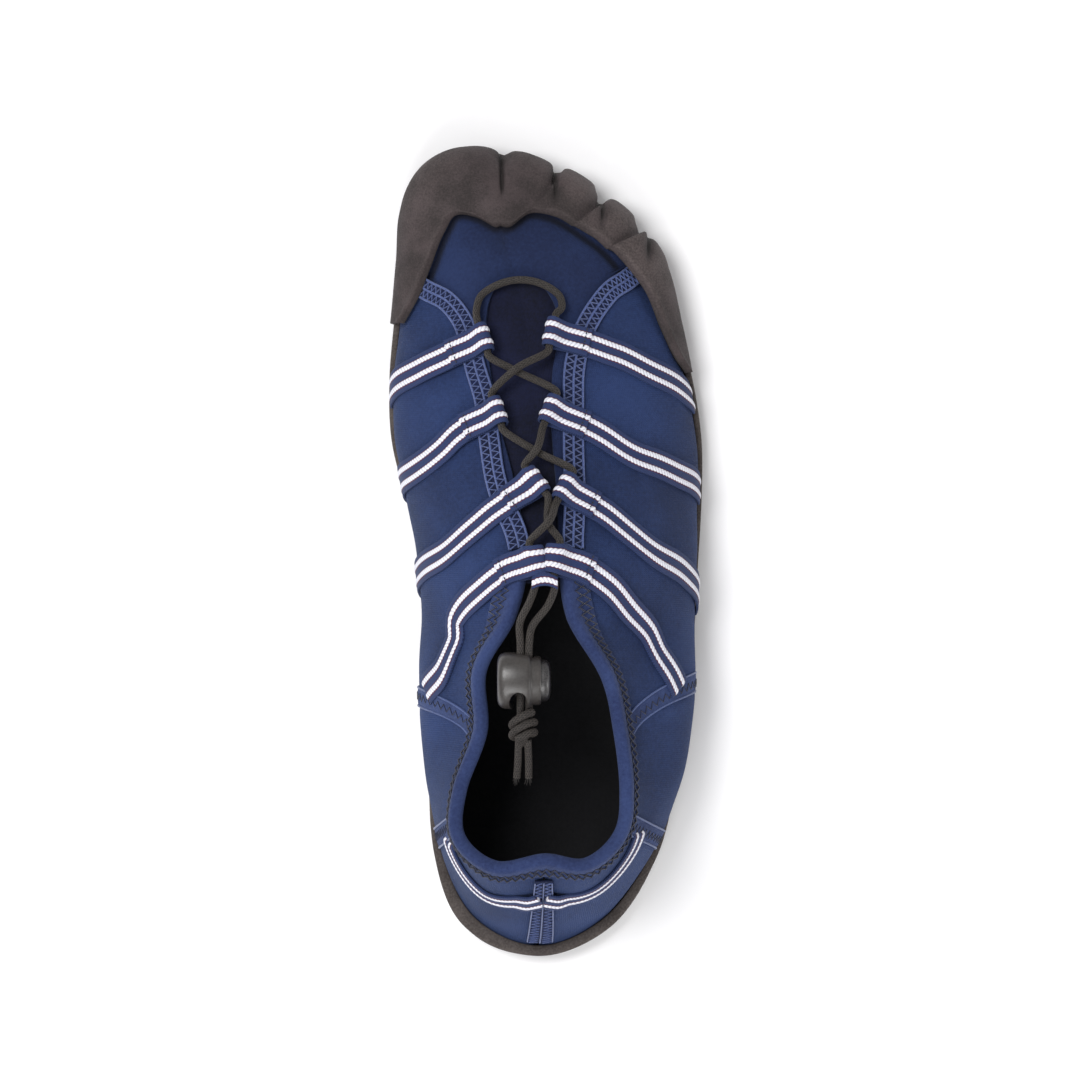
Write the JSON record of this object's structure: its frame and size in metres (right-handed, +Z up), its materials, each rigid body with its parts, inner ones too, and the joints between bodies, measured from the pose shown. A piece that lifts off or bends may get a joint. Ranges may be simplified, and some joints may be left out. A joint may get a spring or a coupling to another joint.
{
  "type": "water shoe",
  "caption": "Low right-foot water shoe with separate moulded toes, webbing straps, bungee lacing and a sprung cord lock.",
  "frame": {"origin": "centre of the bounding box, on the ground under the sole", "axes": "+Y from heel to toes, +X toward the little toe, +Z up"},
  "size_m": [0.1082, 0.2744, 0.0775],
  "materials": {
    "navy": "knit with neoprene hand, matte",
    "dark_navy": "fine knit, matte",
    "tape": "knit tape with zigzag stitching",
    "webbing": "woven webbing with two light cords",
    "gusset": "thin stretch knit",
    "cord": "braided bungee sheath",
    "insole": "brushed cover on foam",
    "board": "non-woven board",
    "rubber": "matte moulded rubber",
    "plastic": "satin moulded plastic",
    "steel": "spring wire"
  },
  "bodies": {
    "shoe": {"vamp": "dark_navy", "throat_gusset": "gusset", "toe_cap": "rubber", "outsole": "rubber", "lasting_board": "board", "insole": "insole", "collar_binding": "tape", "quarter_medial": "navy", "ankle_panel_medial": "navy", "heel_panel_medial": "navy", "tape_medial_vamp": "tape", "heel_webbing_medial": "webbing", "quarter_lateral": "navy", "ankle_panel_lateral": "navy", "heel_panel_lateral": "navy", "tape_lateral_vamp": "tape", "heel_webbing_lateral": "webbing", "tape_back": "tape", "tape_medial_front": "tape", "tape_lateral_front": "tape", "tape_medial_rear": "tape", "tape_lateral_rear": "tape", "webbing_medial_1": "webbing", "webbing_medial_2": "webbing", "webbing_medial_3": "webbing", "webbing_medial_4": "webbing", "webbing_lateral_1": "webbing", "webbing_lateral_2": "webbing", "webbing_lateral_3": "webbing", "webbing_lateral_4": "webbing", "lace_keeper": "webbing", "lace": "cord"},
    "lace_end": {"lace_end_medial": "cord", "lace_end_lateral": "cord", "lace_knot": "cord", "lace_tail_medial": "cord", "lace_tail_lateral": "cord"},
    "cord_lock": {"cord_lock_barrel": "plastic", "cord_lock_spring": "steel"},
    "lock_button": {"cord_lock_button": "plastic"}
  },
  "joints": [
    {"name": "lace_end_swing", "type": "hinge", "parent": "shoe", "child": "lace_end", "pos_m": [0, -0.012, 0.0728], "axis": [-1, 0, 0], "range_deg": [0, 60]},
    {"name": "cord_lock_slide", "type": "slide", "parent": "lace_end", "child": "cord_lock", "axis": [0, 0.9806, 0.1961], "range_m": [0, 0.003]},
    {"name": "lock_button_press", "type": "slide", "parent": "cord_lock", "child": "lock_button", "axis": [-1, 0, 0], "range_m": [0, 0.002], "stiffness_N_per_m": 400, "springref_m": -0.004, "deforming": ["cord_lock_spring"]}
  ]
}
